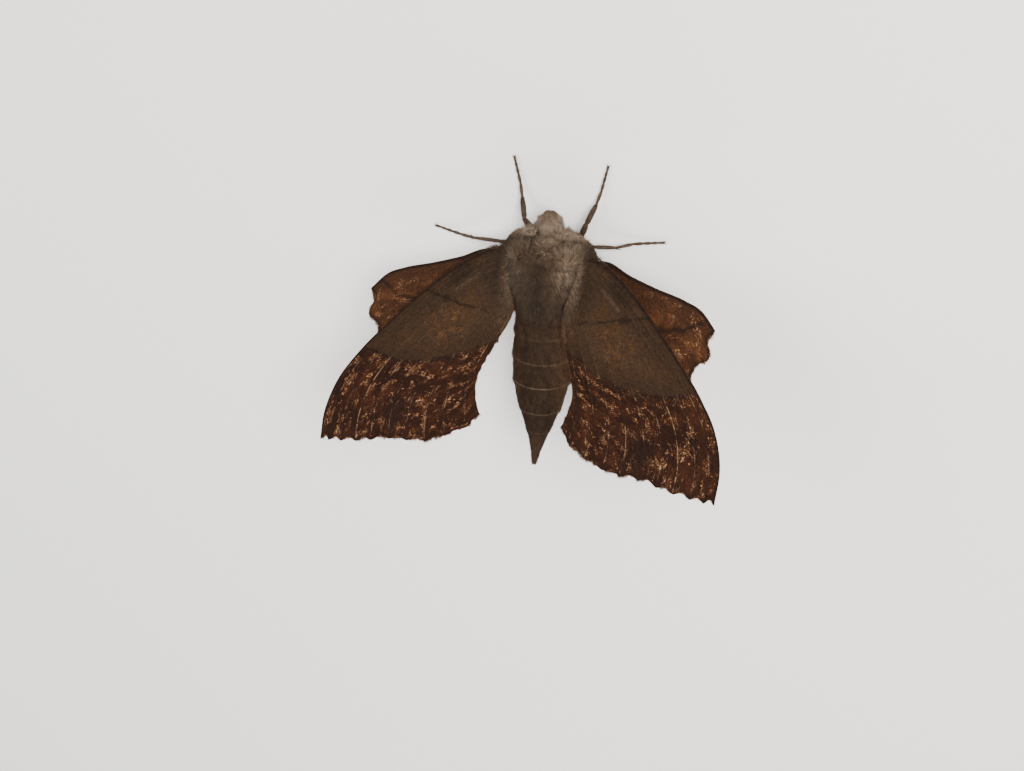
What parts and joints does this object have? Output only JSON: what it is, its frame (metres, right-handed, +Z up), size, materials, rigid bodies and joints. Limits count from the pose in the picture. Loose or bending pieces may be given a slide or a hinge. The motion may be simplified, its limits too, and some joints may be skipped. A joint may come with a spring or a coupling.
{
  "type": "walnut sphinx moth model",
  "caption": "Life-size walnut sphinx moth at rest, standing on its feet with scalloped wings spread and raised towards the tail.",
  "frame": {"origin": "on the floor, under the middle of the model's box", "axes": "+Z up, +Y towards the head, +X towards the moth's right side"},
  "size_m": [0.048, 0.0352, 0.0232],
  "materials": {
    "thorax_fur": "long grey-brown hair scales with pale tips",
    "abdomen_fur": "short brown hair scales with paler fringes on the rings",
    "forewing": "matt brown scales, worn to pale flecks on the outer third",
    "hindwing": "matt reddish brown scales",
    "leg": "close brown scales over horn",
    "antenna": "pale scaled shaft",
    "eye": "glossy, very dark, finely faceted"
  },
  "bodies": {
    "root": {"thorax": "thorax_fur", "abdomen": "abdomen_fur", "head": "thorax_fur", "eye_left": "eye", "eye_right": "eye", "palp_left": "thorax_fur", "palp_right": "thorax_fur", "antenna_left": "antenna", "antenna_right": "antenna", "forewing_left": "forewing", "forewing_right": "forewing", "hindwing_left": "hindwing", "hindwing_right": "hindwing", "foreleg_left": "leg", "foreleg_right": "leg", "midleg_left": "leg", "midleg_right": "leg", "hindleg_left": "leg", "hindleg_right": "leg"}
  },
  "joints": []
}
